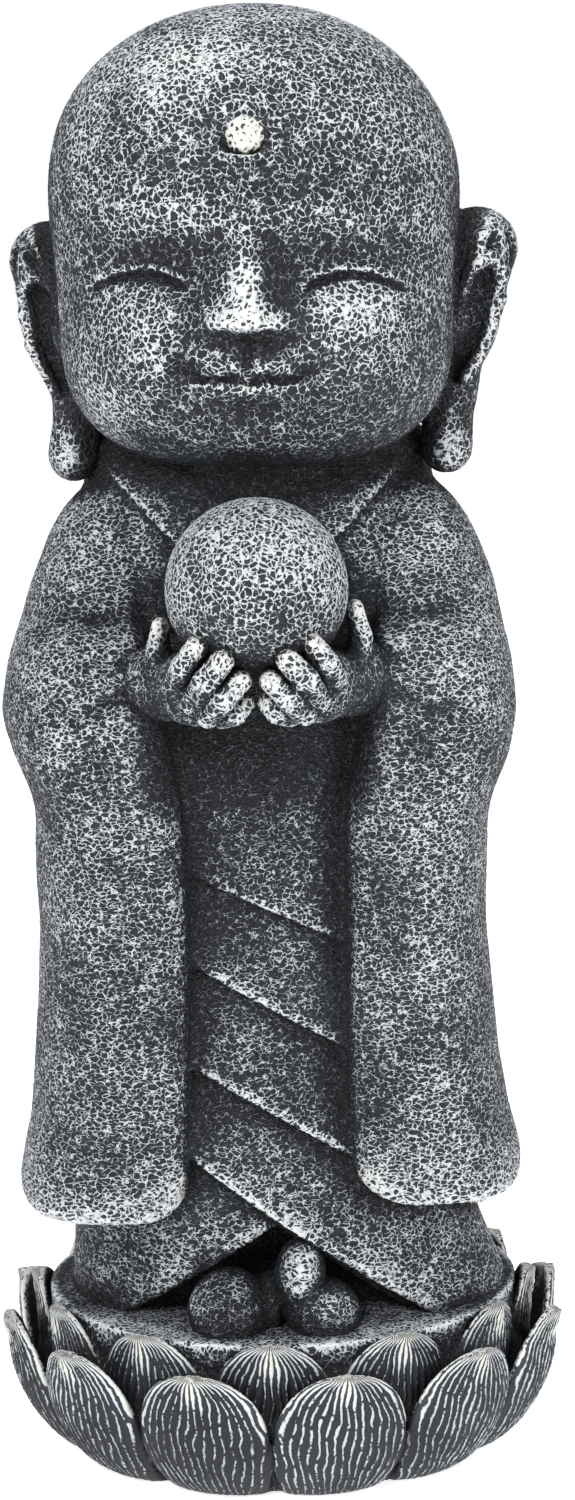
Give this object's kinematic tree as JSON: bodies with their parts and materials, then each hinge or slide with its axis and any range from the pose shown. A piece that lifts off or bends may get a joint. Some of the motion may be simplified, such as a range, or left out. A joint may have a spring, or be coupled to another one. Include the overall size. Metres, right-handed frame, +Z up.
{
  "type": "stone jizo statue",
  "caption": "Cast-stone garden figure of a smiling child monk in a wide-sleeved robe, holding a ball and standing on a lotus base.",
  "frame": {"origin": "middle of the flat underside, on the surface that the statue stands on", "axes": "+Z up, the figure faces -Y, +X is on its left hand side"},
  "size_m": [0.1624, 0.1624, 0.41],
  "materials": {
    "drybrushed_stone": "charcoal grey cast stone, hammered all over and drybrushed pale grey"
  },
  "bodies": {
    "root": {"jizo_statue": "drybrushed_stone"}
  },
  "joints": []
}
